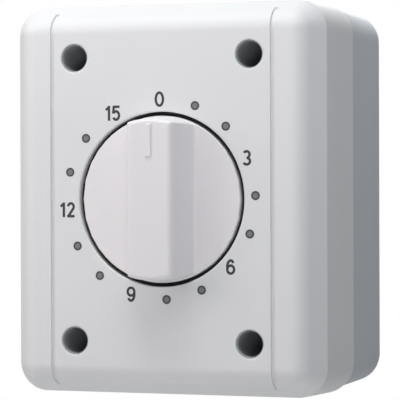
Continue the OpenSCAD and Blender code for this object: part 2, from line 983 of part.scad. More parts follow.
module ratchet_wheel() color(steel) upright() {
    saw_teeth = 18;
    saw_step = 360 / saw_teeth;
    saw_face = 1;
    saw_r = 5.6;
    saw_root = 4.8;
    translate([0, 0, ratchet_z])
        linear_extrude(ratchet_t)
            difference() {
                polygon([for (i = [0:saw_teeth - 1]) each [
                    polar(saw_root, i * saw_step),
                    polar(saw_r, i * saw_step + saw_face)
                ]]);
                circle(spindle_r + press_gap);
            }
}

module ratchet_click() color(steel) upright() {
    click_at = [7.4, -2];
    eye_r = 1.2;
    rivet = 0.8;
    arm_w = 1;
    arm_top = 1.4;
    nose = [[5.75, 2.3], [5.95, 2.7]];
    translate([0, 0, ratchet_z])
        linear_extrude(ratchet_t) {
            translate(click_at)
                circle(eye_r);
            translate([click_at.x - arm_w / 2, click_at.y])
                square([arm_w, arm_top - click_at.y]);
            polygon([[click_at.x + arm_w / 2, arm_top], [click_at.x - arm_w / 2, arm_top], nose[0], nose[1]]);
        }
    // Rivet down into the main wheel
    rod(click_at, rivet, main_z + main_t, ratchet_z + eps);
}

module switch_cam() color(acetal) upright() {
    translate([0, 0, cam_z])
        linear_extrude(cam_t)
            difference() {
                union() {
                    circle(cam_r - cam_notch);
                    // Full radius all the way round but for the notch at the off position
                    difference() {
                        circle(cam_r);
                        polygon([
                            [0, 0],
                            polar(2 * cam_r, -90 - cam_notch_half),
                            polar(2 * cam_r, -90 + cam_notch_half)
                        ]);
                    }
                }
                circle(spindle_r + press_gap);
                spokes(arms = 3, hub = 4.8, rim = 6.6, arm_w = 2.4);
            }
}

// Flat spiral from the collar out to the post
function spiral(r0, r1, turns, side) = [
    for (i = [0:turns * 20])
        let (f = i / (turns * 20))
        polar(r0 + (r1 - r0) * f + side, 180 - turns * 360 * (1 - f))
];

module mainspring() color(steel) upright() {
    inner = spiral(spring_inner_r, spring_outer_r, spring_turns, 0);
    outer = spiral(spring_inner_r, spring_outer_r, spring_turns, spring_t);
    back = [for (i = [len(outer) - 1:-1:0]) outer[i]];
    translate([0, 0, spring_z])
        linear_extrude(spring_w)
            polygon(concat(inner, back));
}

// Thin shaft with a finer pivot at each end, between the two plates
module arbor(at) {
    end_play = 0.3;
    pivot_in = 0.2;
    rod(at, arbor_r, rear_plate_z + plate_t + end_play, front_plate_z - end_play);
    rod(at, pivot_r, rear_plate_z + pivot_in, front_plate_z + plate_t - pivot_in);
}

module second_wheel() color(acetal) upright() {
    below = 0.7;
    above = 0.4;
    arbor(second_at);
    translate([second_at.x, second_at.y, 0]) {
        translate([0, 0, main_z - below])
            linear_extrude(main_t + below + above)
                rotate(second_turn + 180 + 180 / second_pinion_teeth)
                    polygon(gear_points(second_pinion_teeth, main_mod, pinion_add));
        translate([0, 0, second_z])
            linear_extrude(second_t)
                difference() {
                    rotate(escape_turn)
                        polygon(gear_points(second_teeth, second_mod, wheel_add));
                    spokes(arms = 4, hub = 3.2, rim = 6.2, arm_w = 1.4);
                }
    }
}

module escape_wheel() color(acetal) upright() {
    tooth_base = 4;
    tooth_step = 360 / escape_teeth;
    over = 0.6;
    arbor(escape_at);
    translate([escape_at.x, escape_at.y, 0]) {
        translate([0, 0, second_z - over])
            linear_extrude(second_t + 2 * over)
                rotate(escape_turn + 180 + 180 / escape_pinion_teeth)
                    polygon(gear_points(escape_pinion_teeth, second_mod, pinion_add));
        translate([0, 0, escape_z])
            linear_extrude(escape_t)
                rotate(pallet_turn)
                    difference() {
                        polygon([for (i = [0:escape_teeth - 1]) each [
                            polar(escape_root_r, i * tooth_step - tooth_base),
                            polar(escape_r, i * tooth_step),
                            polar(escape_root_r, i * tooth_step + tooth_base)
                        ]]);
                        spokes(arms = 3, hub = 1.7, rim = 2.7, arm_w = 0.9);
                    }
    }
}

module pallet_lever() color(brass) upright() {
    arm_z = escape_z + escape_t + 0.3;
    arm_t = 0.7;
    arm_w = 0.9;
    arm_tip_r = 0.6;
    eye_r = 1.4;
    hub_top_r = 1.2;
    hub_h = 2;
    bar_z = arm_z + 1.1;
    bar_half = 3.6;
    bar_w = 1;
    bar_t = 0.8;
    pin_over = 0.2;
    weight_r = 1.1;
    weight_z = bar_z - 0.3;
    arbor(pallet_at);
    translate([pallet_at.x, pallet_at.y, 0])
        rotate(pallet_turn + 180) {
            // Two arms, each with a pin that drops between the escape teeth
            translate([0, 0, arm_z])
                linear_extrude(arm_t) {
                    circle(eye_r);
                    for (sy = [-1, 1])
                        rotate(sy * (90 - pallet_span)) {
                            translate([0, -arm_w / 2])
                                square([pallet_reach, arm_w]);
                            translate([pallet_reach, 0])
                                circle(arm_tip_r);
                        }
                }
            for (sy = [-1, 1])
                rotate(sy * (90 - pallet_span))
                    translate([pallet_reach, 0, escape_z - pin_over])
                        cylinder(r = pallet_pin_r, h = arm_z + arm_t / 2 - escape_z + pin_over);
            // Hub, and a balance bar with a weight at each end
            translate([0, 0, arm_z + arm_t / 2])
                cylinder(r = hub_top_r, h = hub_h);
            translate([-bar_w / 2, -bar_half, bar_z])
                cube([bar_w, 2 * bar_half, bar_t]);
            for (sy = [-1, 1])
                translate([0, sy * bar_half, weight_z])
                    cylinder(r = weight_r, h = hub_h);
        }
}

rear_base();
cover();
cover_seal();
cable_grommet();
blind_grommet();
sealing_sleeves();
cover_screws();
mechanism_carrier();
carrier_screws();
timer_front_plate();
timer_rear_plate();
frame_pillars();
frame_screws();
spindle_bush();
shaft_seal();
knob_ring();
terminal_block();
terminal_clamps();
terminal_screws();
block_screws();
moving_contact();
fixed_contact();
knob();
knob_clip();
spindle();
main_wheel();
ratchet_wheel();
ratchet_click();
switch_cam();
mainspring();
second_wheel();
escape_wheel();
pallet_lever();
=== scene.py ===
import json
import math

import bmesh
import bpy
import numpy as np
from mathutils import Matrix, Vector
from mathutils.geometry import delaunay_2d_cdt


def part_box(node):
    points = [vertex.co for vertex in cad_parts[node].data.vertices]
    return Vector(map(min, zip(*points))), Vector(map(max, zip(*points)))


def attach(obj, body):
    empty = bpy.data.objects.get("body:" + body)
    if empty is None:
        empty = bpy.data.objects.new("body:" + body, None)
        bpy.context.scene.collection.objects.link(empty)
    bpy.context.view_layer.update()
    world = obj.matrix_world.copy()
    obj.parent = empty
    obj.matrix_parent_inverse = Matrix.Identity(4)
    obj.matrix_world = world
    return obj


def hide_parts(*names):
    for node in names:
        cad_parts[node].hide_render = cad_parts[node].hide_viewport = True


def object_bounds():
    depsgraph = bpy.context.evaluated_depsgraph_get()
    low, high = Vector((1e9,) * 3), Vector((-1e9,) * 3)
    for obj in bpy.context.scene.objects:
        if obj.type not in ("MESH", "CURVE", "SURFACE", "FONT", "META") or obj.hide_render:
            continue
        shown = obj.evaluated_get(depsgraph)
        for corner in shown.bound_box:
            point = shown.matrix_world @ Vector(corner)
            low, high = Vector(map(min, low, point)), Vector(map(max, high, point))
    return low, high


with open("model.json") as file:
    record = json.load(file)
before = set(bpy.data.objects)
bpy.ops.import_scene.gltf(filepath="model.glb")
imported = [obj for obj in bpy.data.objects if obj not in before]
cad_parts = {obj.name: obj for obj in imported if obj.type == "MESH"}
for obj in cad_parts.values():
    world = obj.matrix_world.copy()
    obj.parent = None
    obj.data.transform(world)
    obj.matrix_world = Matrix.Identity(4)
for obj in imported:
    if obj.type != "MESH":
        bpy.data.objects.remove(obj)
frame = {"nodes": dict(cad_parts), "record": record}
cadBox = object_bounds()
mm = 0.001
print("frame loaded,", len(frame["nodes"]), "nodes")

# How finely round things are cut, and how close points are made one
meshing = {
    "mergeMm": 0.002, "sliverMm": 0.001, "loopGapMm": 1e-5, "sharpDeg": 38, "faceWeight": 90,
    "arcSteps": 6, "wellAround": 144, "towerAround": 48, "dotAround": 32, "floorAround": 96,
}


# Pieces are drawn in mm as they hang: x right, y up, z out of the wall
def stand(points):
    # X = x, Y = -z, Z = y, in metres
    p = np.asarray(points, float).reshape(-1, 3)
    return np.stack([p[:, 0], -p[:, 2], p[:, 1]], axis=1) * mm


def drawnBox(node):
    # lowest and highest corner of a node in the drawing's own axes
    low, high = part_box(node)
    return (np.array([low.x, low.z, -high.y]) / mm, np.array([high.x, high.z, -low.y]) / mm)


def gridFaces(rows, cols, closed=True):
    # quads between neighbouring rows and columns; closed joins the last column to the first
    i, j = np.meshgrid(np.arange(rows - 1), np.arange(cols if closed else cols - 1), indexing="ij")
    here = i * cols + j
    beside = i * cols + (j + 1) % cols
    return np.stack([here, beside, beside + cols, here + cols], axis=-1).reshape(-1, 4)


def softLine(corners, steps=meshing["arcSteps"]):
    # polyline (a, b, radius): each corner with a radius becomes an arc that touches both its sides
    p = np.array([c[:2] for c in corners], float)
    out = [p[:1]]
    for before, here, after, radius in zip(p[:-2], p[1:-1], p[2:], [c[2] for c in corners[1:-1]]):
        if radius == 0:
            out.append(here[None])
            continue
        u = (before - here) / np.linalg.norm(before - here)
        v = (after - here) / np.linalg.norm(after - here)
        half = 0.5 * math.acos(float(np.clip(u @ v, -1, 1)))
        centre = here + (u + v) / np.linalg.norm(u + v) * radius / math.sin(half)
        first = here + u * radius / math.tan(half) - centre
        last = here + v * radius / math.tan(half) - centre
        turn = math.pi - 2 * half
        t = np.linspace(0, 1, steps + 1)[:, None]
        out.append(centre + (np.sin((1 - t) * turn) * first + np.sin(t * turn) * last) / math.sin(turn))
    return np.concatenate(out + [p[-1:]])


def lathe(profile, centre, around):
    # P(a, t) = centre + r(t) * (cos a, sin a), z(t)
    a = np.arange(around) * 2 * np.pi / around
    r, z = profile[:, :1], profile[:, 1:]
    points = np.stack([centre[0] + r * np.cos(a), centre[1] + r * np.sin(a), z + 0 * a], axis=-1)
    return points.reshape(-1, 3), gridFaces(len(profile), around)


def ring(centre, radius, around):
    # P(a) = centre + radius * (cos a, sin a), at the same angles as a turned piece
    a = np.arange(around) * 2 * np.pi / around
    return np.stack([centre[0] + radius * np.cos(a), centre[1] + radius * np.sin(a)], axis=1)


def inside(points, loop):
    # crossing rule: a point is inside where a level ray from it meets the loop an odd number of times
    x, y = points[:, :1], points[:, 1:]
    a, b = loop, np.roll(loop, -1, axis=0)
    spans = (a[:, 1] > y) != (b[:, 1] > y)
    run = np.where(b[:, 1] == a[:, 1], 1, b[:, 1] - a[:, 1])
    return (spans & (x < a[:, 0] + (y - a[:, 1]) / run * (b[:, 0] - a[:, 0]))).sum(axis=1) % 2 == 1


def fillLoops(loops):
    # triangles of the plane, out to the loops' hull, that keep every loop's edges
    start = np.cumsum([0] + [len(l) for l in loops])
    edges = np.concatenate([
        np.stack([s + np.arange(len(l)), s + (np.arange(len(l)) + 1) % len(l)], axis=1)
        for s, l in zip(start, loops)
    ])
    flat = [Vector(p) for p in np.concatenate(loops).tolist()]
    wholeHull = 0
    verts, _, faces, *_ = delaunay_2d_cdt(flat, edges.tolist(), [], wholeHull, meshing["loopGapMm"])
    return np.array([v[:] for v in verts]), np.array(faces)


def flatPanel(outer, holes, z):
    # plane z inside the outer loop and outside each hole
    p, f = fillLoops([outer] + holes)
    mid = p[f].mean(axis=1)
    keep = inside(mid, outer)
    for hole in holes:
        keep &= ~inside(mid, hole)
    return np.column_stack([p, np.full(len(p), z)]), f[keep]


def makePiece(name, surfaces, material, body, replaced=(), inkEdge=None):
    # joins the surfaces, merges doubles, turns the faces outwards and hands the piece to its body
    start = np.cumsum([0] + [len(p) for p, f in surfaces])
    faces = [q for s, (p, f) in zip(start, surfaces) for q in (f + s).tolist()]
    mesh = bpy.data.meshes.new(name)
    mesh.from_pydata(stand(np.concatenate([p for p, f in surfaces])).tolist(), [], faces)
    if inkEdge is not None:
        layer = mesh.attributes.new("inkEdge", "FLOAT", "POINT")
        layer.data.foreach_set("value", inkEdge.astype(np.float32))
    bm = bmesh.new()
    bm.from_mesh(mesh)
    bmesh.ops.remove_doubles(bm, verts=bm.verts, dist=meshing["mergeMm"] * mm)
    bmesh.ops.dissolve_degenerate(bm, dist=meshing["sliverMm"] * mm, edges=bm.edges)
    bmesh.ops.delete(bm, geom=[v for v in bm.verts if not v.link_faces], context="VERTS")
    bmesh.ops.recalc_face_normals(bm, faces=bm.faces)
    openEdges = sum(not e.is_manifold for e in bm.edges)
    bm.to_mesh(mesh)
    bm.free()
    mesh.shade_smooth()
    mesh.set_sharp_from_angle(angle=math.radians(meshing["sharpDeg"]))
    mesh.materials.append(material)
    piece = bpy.data.objects.new(name, mesh)
    bpy.context.scene.collection.objects.link(piece)
    shade = piece.modifiers.new("face_weighted_shading", "WEIGHTED_NORMAL")
    shade.weight = meshing["faceWeight"]
    shade.keep_sharp = True
    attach(piece, body)
    if replaced:
        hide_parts(*replaced)
    print(name, len(mesh.polygons), "faces,", openEdges, "open edges")


# Materials
def linear(code):
    # sRGB hex to linear colour
    s = np.array([int(code[i:i + 2], 16) for i in (1, 3, 5)]) / 255
    return (*np.where(s <= 0.04045, s / 12.92, ((s + 0.055) / 1.055) ** 2.4).tolist(), 1.0)


def perMetre(sizeMm):
    # texture scale that repeats about once in sizeMm
    return 1 / (sizeMm * mm)


def addNode(tree, kind, settings=None, links=None):
    # one node: settings by property or socket, links by socket from another node's output
    node = tree.nodes.new(kind)
    for key, value in (settings or {}).items():
        if isinstance(key, int) or key in node.inputs:
            node.inputs[key].default_value = value
        else:
            setattr(node, key, value)
    for key, source in (links or {}).items():
        tree.links.new(source, node.inputs[key])
    return node


def startMaterial(name):
    # empty node tree, and Object coordinates to read
    material = bpy.data.materials.new(name)
    material.use_nodes = True
    tree = material.node_tree
    tree.nodes.clear()
    place = addNode(tree, "ShaderNodeTexCoord").outputs["Object"]
    return material, tree, place


def endMaterial(material, tree, shader):
    addNode(tree, "ShaderNodeOutputMaterial", links={"Surface": shader.outputs[0]})
    return material


# How far gloss swings about its mean, and how deep the fine marks are
finish = {"grainSwing": 0.04, "grainDeepMm": 0.02, "lineSwing": 0.1, "lineDeepMm": 0.01, "lineBump": 0.12}


def mouldedPlastic(name, look):
    # Moulded thermoplastic or rubber: satin gloss over the mould's eroded grain, and a faint drift of tone
    # where the melt ran. The grain is drawn coarser than a real mould's, so that it shows.
    material, tree, place = startMaterial(name)
    drift = addNode(
        tree, "ShaderNodeTexNoise", {"Scale": perMetre(look["driftMm"]), "Detail": 2.0}, {"Vector": place},
    )
    tone = addNode(
        tree, "ShaderNodeMix", {"data_type": "RGBA", 6: linear(look["dark"]), 7: linear(look["pale"])},
        {0: drift.outputs["Fac"]},
    )
    grain = addNode(
        tree, "ShaderNodeTexNoise", {"Scale": perMetre(look["grainMm"]), "Detail": 3.0}, {"Vector": place},
    )
    swing = finish["grainSwing"]
    gloss = addNode(
        tree, "ShaderNodeMapRange", {"To Min": look["rough"] - swing, "To Max": look["rough"] + swing},
        {"Value": grain.outputs["Fac"]},
    )
    bump = addNode(
        tree, "ShaderNodeBump", {"Strength": look["bump"], "Distance": finish["grainDeepMm"] * mm},
        {"Height": grain.outputs["Fac"]},
    )
    shader = addNode(
        tree, "ShaderNodeBsdfPrincipled", {"IOR": 1.5, "Specular IOR Level": look["specular"]},
        {
            "Base Color": tone.outputs[2], "Roughness": gloss.outputs["Result"],
            "Normal": bump.outputs["Normal"],
        },
    )
    return endMaterial(material, tree, shader)


def workedMetal(name, look):
    # Worked metal: fine lines left by the tool or the roll, duller where oil or oxide lies.
    # The lines are drawn wider apart than real ones, so that they show.
    material, tree, place = startMaterial(name)
    turn = addNode(tree, "ShaderNodeMapping", {"Scale": look["stretch"]}, {"Vector": place})
    lines = addNode(
        tree, "ShaderNodeTexNoise", {"Scale": perMetre(look["lineMm"]), "Detail": 4.0},
        {"Vector": turn.outputs[0]},
    )
    film = addNode(
        tree, "ShaderNodeTexNoise", {"Scale": perMetre(look["filmMm"]), "Detail": 3.0}, {"Vector": place},
    )
    tone = addNode(
        tree, "ShaderNodeMix", {"data_type": "RGBA", 6: linear(look["dark"]), 7: linear(look["pale"])},
        {0: film.outputs["Fac"]},
    )
    swing = finish["lineSwing"]
    gloss = addNode(
        tree, "ShaderNodeMapRange", {"To Min": look["rough"] - swing, "To Max": look["rough"] + swing},
        {"Value": lines.outputs["Fac"]},
    )
    bump = addNode(
        tree, "ShaderNodeBump", {"Strength": finish["lineBump"], "Distance": finish["lineDeepMm"] * mm},
        {"Height": lines.outputs["Fac"]},
    )
    shader = addNode(
        tree, "ShaderNodeBsdfPrincipled", {"Metallic": 1.0},
        {
            "Base Color": tone.outputs[2], "Roughness": gloss.outputs["Result"],
            "Normal": bump.outputs["Normal"],
        },
    )
    return endMaterial(material, tree, shader)


def padPrintInk(name, look):
    # Pad-printed ink: matt, darker towards its edge and lighter within, as the inkEdge attribute gives
    material, tree, place = startMaterial(name)
    edge = addNode(tree, "ShaderNodeAttribute", {"attribute_name": "inkEdge"})
    speck = addNode(
        tree, "ShaderNodeTexNoise", {"Scale": perMetre(look["speckMm"]), "Detail": 3.0}, {"Vector": place},
    )
    depth = addNode(
        tree, "ShaderNodeMath", {"operation": "MULTIPLY_ADD", 1: look["speck"]},
        {0: speck.outputs["Fac"], 2: edge.outputs["Fac"]},
    )
    tone = addNode(
        tree, "ShaderNodeMix", {"data_type": "RGBA", 6: linear(look["thin"]), 7: linear(look["thick"])},
        {0: depth.outputs[0]},
    )
    shader = addNode(
        tree, "ShaderNodeBsdfPrincipled", {"Roughness": look["rough"]}, {"Base Color": tone.outputs[2]},
    )
    return endMaterial(material, tree, shader)


housingPlastic = mouldedPlastic("satin_moulded_asa_light_grey", {
    "dark": "#dbdbdb", "pale": "#e0e0e0", "driftMm": 30,
    "grainMm": 0.3, "rough": 0.45, "bump": 0.06, "specular": 0.09,
})
knobPlastic = mouldedPlastic("satin_moulded_abs_knob", {
    "dark": "#e0ddde", "pale": "#e5e2e3", "driftMm": 20,
    "grainMm": 0.3, "rough": 0.42, "bump": 0.05, "specular": 0.16,
})
# painted shade: the cover's plastic darkened and blued for the shade that falls on the base's inset sides
baseShadedPlastic = mouldedPlastic("satin_moulded_asa_base_painted_shade", {
    "dark": "#bdc1c5", "pale": "#c3c7cb", "driftMm": 30,
    "grainMm": 0.3, "rough": 0.47, "bump": 0.08, "specular": 0.08,
})
charcoalPlastic = mouldedPlastic("moulded_charcoal_polyamide", {
    "dark": "#2a2a2c", "pale": "#353538", "driftMm": 8,
    "grainMm": 0.25, "rough": 0.5, "bump": 0.25, "specular": 0.4,
})
acetalPlastic = mouldedPlastic("moulded_natural_acetal", {
    "dark": "#dedacb", "pale": "#e9e5d8", "driftMm": 6,
    "grainMm": 0.3, "rough": 0.35, "bump": 0.08, "specular": 0.5,
})
sealRubber = mouldedPlastic("moulded_epdm_rubber_black", {
    "dark": "#161617", "pale": "#202022", "driftMm": 5,
    "grainMm": 0.2, "rough": 0.6, "bump": 0.3, "specular": 0.35,
})
# near-black rubber, darker than the seal rubber: a real rubber ring, and partly painted shade standing in
# for the shade deep in the gap round the knob
ringRubberAndGapShade = mouldedPlastic("moulded_epdm_rubber_charcoal_gap_shade", {
    "dark": "#0b0b0c", "pale": "#101011", "driftMm": 5,
    "grainMm": 0.2, "rough": 0.45, "bump": 0.1, "specular": 0.25,
})
sleeveRubber = mouldedPlastic("moulded_epdm_rubber_grey", {
    "dark": "#989b9d", "pale": "#a2a5a7", "driftMm": 5,
    "grainMm": 0.2, "rough": 0.6, "bump": 0.2, "specular": 0.3,
})
platedSteel = workedMetal("zinc_plated_steel", {
    "dark": "#a6a9ab", "pale": "#c3c6c8", "lineMm": 0.4, "filmMm": 3, "rough": 0.34, "stretch": (1, 6, 1),
})
springSteel = workedMetal("blued_rolled_spring_steel", {
    "dark": "#3d434e", "pale": "#59606b", "lineMm": 0.3, "filmMm": 2, "rough": 0.3, "stretch": (1, 8, 1),
})
turnedBrass = workedMetal("turned_stamped_brass", {
    "dark": "#b8924a", "pale": "#d3b168", "lineMm": 0.35, "filmMm": 2.5, "rough": 0.28, "stretch": (1, 5, 1),
})
dialInk = padPrintInk("pad_printed_dial_ink", {
    "thin": "#747578", "thick": "#262628", "speckMm": 0.15, "speck": 0.1, "rough": 0.55,
})

slotMaterials = {
    "housing_plastic": housingPlastic, "dark_plastic": charcoalPlastic, "seal_rubber": sealRubber,
    "plated_steel": platedSteel, "spring_steel": springSteel, "turned_brass": turnedBrass,
    "acetal": acetalPlastic,
}
ownMaterials = {"rear_base": baseShadedPlastic}  # painted shade: the base is drawn darker and bluer than the cover, standing in for the shade on the inset base
for part in frame["record"]["subparts"]:
    cadMesh = frame["nodes"][part["node"]].data
    cadMesh.materials.clear()
    cadMesh.materials.append(ownMaterials.get(part["node"], slotMaterials[part["material_slot"]]))

# Cover: moulded shell with a rounded bevel, two grooves, a knob well and four screw towers
cover = {
    "shoulderIn": 6.0, "shoulderDrop": 5.6, "shoulderR": 4.3, "shoulderRows": 17, "bevelGuess": 50,
    "cornerCols": 25, "draft": 0.7, "wall": 2.2, "creaseR": 0.35, "rearR": 0.3,
    "sealSeatIn": 1.3, "sealSeatH": 1.85, "ceilingOut": 1.2,
    "grooveX": 23.4, "grooveW": 0.84, "grooveD": 0.5, "grooveSoft": 0.06, "grooveFlat": 0.1,
    "grooveEnd": 4.6, "grooveFade": 0.2,
    "screwX": 18.6, "screwY": 28.65, "openR": 2.85, "openRim": 0.25, "boreR": 4.05, "shankR": 1.7,
    "towerR": 5.4, "towerZ": 26.2, "towerFloor": 1.8, "towerFootR": 0.3,
    "wellR": 17.55, "wellRim": 0.3, "wellFloorZ": 41.0, "wellFloorT": 1.6, "wellWall": 1.8,
    "wellFootR": 0.4, "shaftR": 6.2,
    "rimFlat": 0.3,  # flat margin round each rim, so that the panel keeps its own shading
}
coverLow, coverHigh = drawnBox("cover")
frontZ, rearZ = coverHigh[2], coverLow[2]
flatX = coverHigh[0] - cover["draft"] - cover["shoulderIn"]
flatY = coverHigh[1] - cover["draft"] - cover["shoulderIn"]
ceilingZ = frontZ - cover["wall"]
screwPlaces = [(sx * cover["screwX"], sy * cover["screwY"]) for sx in (-1, 1) for sy in (-1, 1)]

# Places across a groove where its section is taken: flat edge, seven on the lip, then the floor
grooveHalf = cover["grooveW"] / 2
grooveLip = grooveHalf + cover["grooveSoft"] * np.linspace(1, -1, 7)
grooveSide = np.concatenate([[grooveHalf + cover["grooveFlat"]], grooveLip, [grooveHalf / 2]])
grooveSamples = np.concatenate([grooveSide, [0.0], -grooveSide[::-1]])


def smoothStep(x):
    # 3x^2 - 2x^3 between 0 and 1, level outside
    x = np.clip(x, 0, 1)
    return x * x * (3 - 2 * x)


def grooveDepth(u):
    # depth across a groove: full in the middle, rounded at both lips
    soft = cover["grooveSoft"]
    return cover["grooveD"] * smoothStep((grooveHalf + soft - np.abs(u)) / (2 * soft))


def coverSection():
    # edge section (distance out from the flat front, z): rounded shoulder, bevel, crease, drafted wall
    # and inner wall; the second value counts the rows of shoulder and bevel
    c = cover
    guess = math.radians(c["bevelGuess"])
    bevel = math.atan2(
        c["shoulderDrop"] - c["shoulderR"] * (1 - math.cos(guess)),
        c["shoulderIn"] - c["shoulderR"] * math.sin(guess),
    )
    a = np.linspace(0, bevel, c["shoulderRows"])
    arc = np.stack([c["shoulderR"] * np.sin(a), frontZ - c["shoulderR"] * (1 - np.cos(a))], axis=1)
    crease = np.array([c["shoulderIn"], frontZ - c["shoulderDrop"]])
    fadeOut = c["grooveEnd"] + c["grooveFade"] * np.linspace(-1.25, 0.25, 4)  # rows where a groove runs out
    along = (fadeOut - arc[-1, 0]) / (crease[0] - arc[-1, 0])
    bevelLine = arc[-1] + along[:, None] * (crease - arc[-1])
    wallOut = c["shoulderIn"] + c["draft"]
    wallIn = wallOut - c["wall"]
    seatZ = rearZ + c["sealSeatH"]
    outside = softLine([
        (*bevelLine[-1], 0), (*crease, c["creaseR"]), (wallOut, rearZ, c["rearR"]),
        (wallOut - c["sealSeatIn"], rearZ, 0), (wallOut - c["sealSeatIn"], seatZ, 0), (wallIn, seatZ, 0),
        (wallIn - c["draft"], crease[1] - c["wall"] / 2, 0), (c["ceilingOut"], ceilingZ, 0),
    ])
    return np.concatenate([arc, bevelLine[:-1], outside]), len(arc) + len(bevelLine)


def coverPath():
    # way round the flat front, as rows of (place, outward normal, groove depth): a turning normal at each
    # corner, and the groove's places on both short sides
    quarter = np.linspace(0, np.pi / 2, cover["cornerCols"])
    rows = []
    for k, (sx, sy) in enumerate([(1, 1), (-1, 1), (-1, -1), (1, -1)]):
        a = quarter + k * np.pi / 2
        rows.append(np.stack([0 * a + sx * flatX, 0 * a + sy * flatY, np.cos(a), np.sin(a), 0 * a], axis=1))
        if k % 2 == 0:
            for side in (sx, -sx):
                x = side * cover["grooveX"] + sx * grooveSamples
                depth = grooveDepth(grooveSamples)
                rows.append(np.stack([x, 0 * x + sy * flatY, 0 * x, 0 * x + sy, depth], axis=1))
    return np.concatenate(rows)


def coverShell():
    # P(s, t) = c(s) + n(s) * out(t), z(t), pushed in along the section's normal by the groove's depth
    section, frontRows = coverSection()
    path = coverPath()
    slope = np.gradient(section, axis=0)
    normal = np.stack([-slope[:, 1], slope[:, 0]], axis=1)
    normal /= np.linalg.norm(normal, axis=1, keepdims=True)
    normal[0] = (0, 1)
    fade = smoothStep((cover["grooveEnd"] - section[:, 0]) / cover["grooveFade"])
    fade[frontRows:] = 0
    push = fade[:, None] * path[:, 4]
    out = section[:, :1] - push * normal[:, :1]
    points = np.stack([
        path[:, 0] + path[:, 2] * out, path[:, 1] + path[:, 3] * out, section[:, 1:] - push * normal[:, 1:],
    ], axis=-1)
    return points.reshape(-1, 3), gridFaces(len(section), len(path))


def frontPanels(openFlat, wellFlat):
    # flat front in three panels with the openings cut out, and the two grooves between them
    c = cover
    lip = grooveSamples.max()
    inner = c["grooveX"] - lip
    box = np.array([(-inner, -flatY), (inner, -flatY), (inner, flatY), (-inner, flatY)])
    holes = [ring(s, openFlat, meshing["towerAround"]) for s in screwPlaces]
    surfaces = [flatPanel(box, holes + [ring((0, 0), wellFlat, meshing["wellAround"])], frontZ)]
    for side in (-1, 1):
        strip = [(side * x, y, frontZ) for y in (-flatY, flatY) for x in (c["grooveX"] + lip, flatX)]
        surfaces.append((np.array(strip), np.array([[0, 1, 3, 2]])))
        x = np.tile(side * c["grooveX"] + grooveSamples, 2)
        y = np.repeat([-flatY, flatY], len(grooveSamples))
        z = frontZ - grooveDepth(np.tile(grooveSamples, 2))
        surfaces.append((np.stack([x, y, z], axis=1), gridFaces(2, len(grooveSamples), closed=False)))
    return surfaces


def coverInside(openFlat, wellFlat):
    # ceiling behind the front, a turned tower at each screw and the turned well
    c = cover
    path = coverPath()
    border = path[:, :2] + path[:, 2:4] * c["ceilingOut"]
    cupR = c["wellR"] + c["wellWall"]
    backs = [ring(s, c["towerR"], meshing["towerAround"]) for s in screwPlaces]
    ceiling = flatPanel(border, backs + [ring((0, 0), cupR, meshing["wellAround"])], ceilingZ)
    floorTop = c["towerZ"] + c["towerFloor"]
    tower = softLine([
        (openFlat, frontZ, 0), (c["openR"], frontZ, c["openRim"]), (c["openR"], ceilingZ, 0),
        (c["boreR"], ceilingZ, 0), (c["boreR"], floorTop, 0), (c["shankR"], floorTop, 0),
        (c["shankR"], c["towerZ"], 0), (c["towerR"], c["towerZ"], c["towerFootR"]),
        (c["towerR"], ceilingZ, 0),
    ])
    backZ = c["wellFloorZ"] - c["wellFloorT"]
    well = softLine([
        (wellFlat, frontZ, 0), (c["wellR"], frontZ, c["wellRim"]),
        (c["wellR"], c["wellFloorZ"], c["wellFootR"]), (c["shaftR"], c["wellFloorZ"], 0),
        (c["shaftR"], backZ, 0), (cupR, backZ, c["wellFootR"]), (cupR, ceilingZ, 0),
    ])
    towers = [lathe(tower, s, meshing["towerAround"]) for s in screwPlaces]
    return [ceiling, *towers, lathe(well, (0, 0), meshing["wellAround"])]


openFlat = cover["openR"] + cover["openRim"] + cover["rimFlat"]
wellFlat = cover["wellR"] + cover["wellRim"] + cover["rimFlat"]
coverSurfaces = [coverShell(), *frontPanels(openFlat, wellFlat), *coverInside(openFlat, wellFlat)]
makePiece("cover_shell", coverSurfaces, housingPlastic, "housing", ["cover"])

# Knob: disc with a turned rim, a tapered grip bar across it and a pointer ridge
knob = {
    "discR": 16.75, "discUp": -0.2, "discT": 2.0, "rimR": 0.3, "rimFlat": 0.3,
    "skirtZ": 42.4, "skirtT": 1.8, "skirtInR": 0.2, "skirtOutR": 0.3,
    "hubR": 4.6, "hubFootR": 0.3, "hollowR": 0.5, "boreR": 3.03, "boreTop": 45.9,
    "gripH": 7.0, "footHalf": 7.07, "topHalf": 4.5, "endR": 16.45, "endSunk": 2.0, "endLean": 0.5,
    "cornerR": 0.35, "cornerTopR": 0.5, "topR": 1.2, "endTopR": 0.9, "footR": 0.5,
    "flankCols": 16, "cornerCols": 8, "endCols": 32, "footRows": 9, "flankRows": 8, "crownRows": 17,
    "underSteps": 8,
}
knobLow, _ = drawnBox("knob")
discTop = frontZ + knob["discUp"]
gripTop = discTop + knob["gripH"]
flankLean = math.atan2(knob["footHalf"] - knob["topHalf"], knob["gripH"])
endLean = math.atan2(knob["endLean"], knob["gripH"])


def flankHalf(h):
    # straight flank: the half width falls evenly from foot to top
    return knob["footHalf"] - (knob["footHalf"] - knob["topHalf"]) * h / knob["gripH"]


def endCone(h):
    # radius of the ends: upright below the disc, then falling evenly
    return knob["endR"] - knob["endLean"] * np.maximum(h, 0) / knob["gripH"]


def roundTop(h, straight, lean, radius):
    # straight side at height h, turned over into the flat top by an arc that touches both
    centreH = knob["gripH"] - radius
    rise = np.clip((h - centreH) / radius, -1, 1)
    middle = straight(centreH) - radius / math.cos(lean)
    return np.where(rise > math.sin(lean), middle + radius * np.sqrt(1 - rise ** 2), straight(h))


